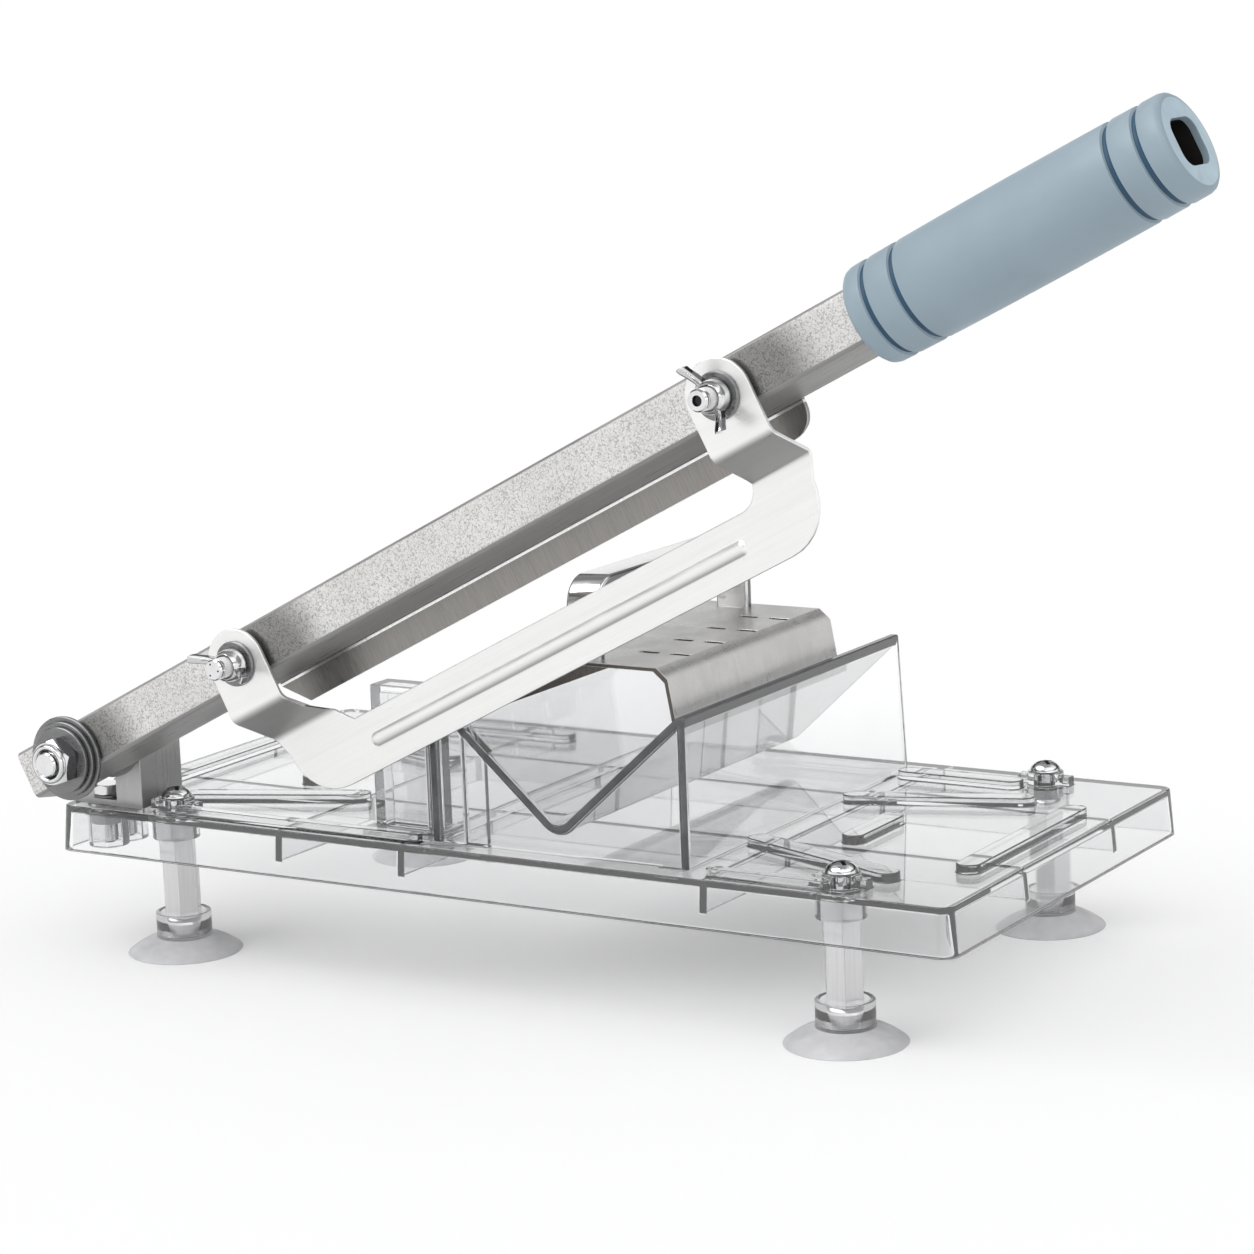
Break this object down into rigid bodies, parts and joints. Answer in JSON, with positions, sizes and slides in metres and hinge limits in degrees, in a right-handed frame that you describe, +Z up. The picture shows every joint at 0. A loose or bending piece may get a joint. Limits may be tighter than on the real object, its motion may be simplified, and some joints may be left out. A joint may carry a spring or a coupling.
{
  "type": "meat slicer",
  "caption": "Hand-levered meat slicer: clear footed board with a V trough, pivoting blade arm, adjustable slice guard, lift-off food press and ribbed grip.",
  "frame": {"origin": "on the table under the middle of the whole object's box at rest", "axes": "+X along the board towards the grip, +Y away from the blade towards the trough's rear, +Z up"},
  "size_m": [0.4949, 0.2402, 0.3319],
  "materials": {
    "clear_plastic": "clear, polished",
    "leg_metal": "bright",
    "cup_rubber": "frosted, translucent",
    "fastener_steel": "bright plated",
    "bracket_steel": "brushed",
    "nylon": "matt",
    "sleeve_steel": "plain",
    "arm_steel": "embossed",
    "grip_plastic": "satin",
    "blade_steel": "ground",
    "guard_steel": "fine brushed",
    "cover_steel": "brushed",
    "handle_steel": "polished"
  },
  "bodies": {
    "base": {"board": "clear_plastic", "trough": "clear_plastic", "guide_post": "clear_plastic", "leg_front_left": "leg_metal", "leg_front_right": "leg_metal", "leg_rear_left": "leg_metal", "leg_rear_right": "leg_metal", "cup_front_left": "cup_rubber", "cup_front_right": "cup_rubber", "cup_rear_left": "cup_rubber", "cup_rear_right": "cup_rubber", "foot_screws": "fastener_steel", "bracket": "bracket_steel", "bracket_bolts": "fastener_steel", "bracket_washers": "fastener_steel", "bracket_nuts": "fastener_steel", "pivot_bolt": "fastener_steel", "pivot_bearing": "nylon", "pivot_washers": "fastener_steel", "pivot_nut": "fastener_steel"},
    "lever": {"arm": "arm_steel", "pivot_sleeve": "sleeve_steel", "grip": "grip_plastic", "blade": "blade_steel", "lower_stud": "fastener_steel", "upper_stud": "fastener_steel", "stud_spacers": "fastener_steel"},
    "slice_guard": {"guard": "guard_steel", "guard_washers": "fastener_steel"},
    "lower_wing_nut": {"lower_wing_nut": "fastener_steel"},
    "upper_wing_nut": {"upper_wing_nut": "fastener_steel"},
    "press": {"press_cover": "cover_steel", "press_handle": "handle_steel"}
  },
  "joints": [
    {"name": "lever_pivot", "type": "hinge", "parent": "base", "child": "lever", "pos_m": [-0.2213, -0.0835, 0.082], "axis": [0, -1, 0], "range_deg": [-25.5, 13]},
    {"name": "guard_slide", "type": "slide", "parent": "lever", "child": "slice_guard", "axis": [0, -1, 0], "range_m": [0, 0.006]},
    {"name": "lower_wing_turn", "type": "hinge", "parent": "slice_guard", "child": "lower_wing_nut", "pos_m": [-0.13487, -0.1135, 0.12604], "axis": [0, -1, 0], "range_deg": [0, 1720]},
    {"name": "upper_wing_turn", "type": "hinge", "parent": "slice_guard", "child": "upper_wing_nut", "pos_m": [0.07541, -0.1135, 0.23318], "axis": [0, -1, 0], "range_deg": [0, 1720]},
    {"name": "press_lift", "type": "slide", "parent": "base", "child": "press", "axis": [0, 0, 1], "range_m": [0, 0.09]}
  ]
}
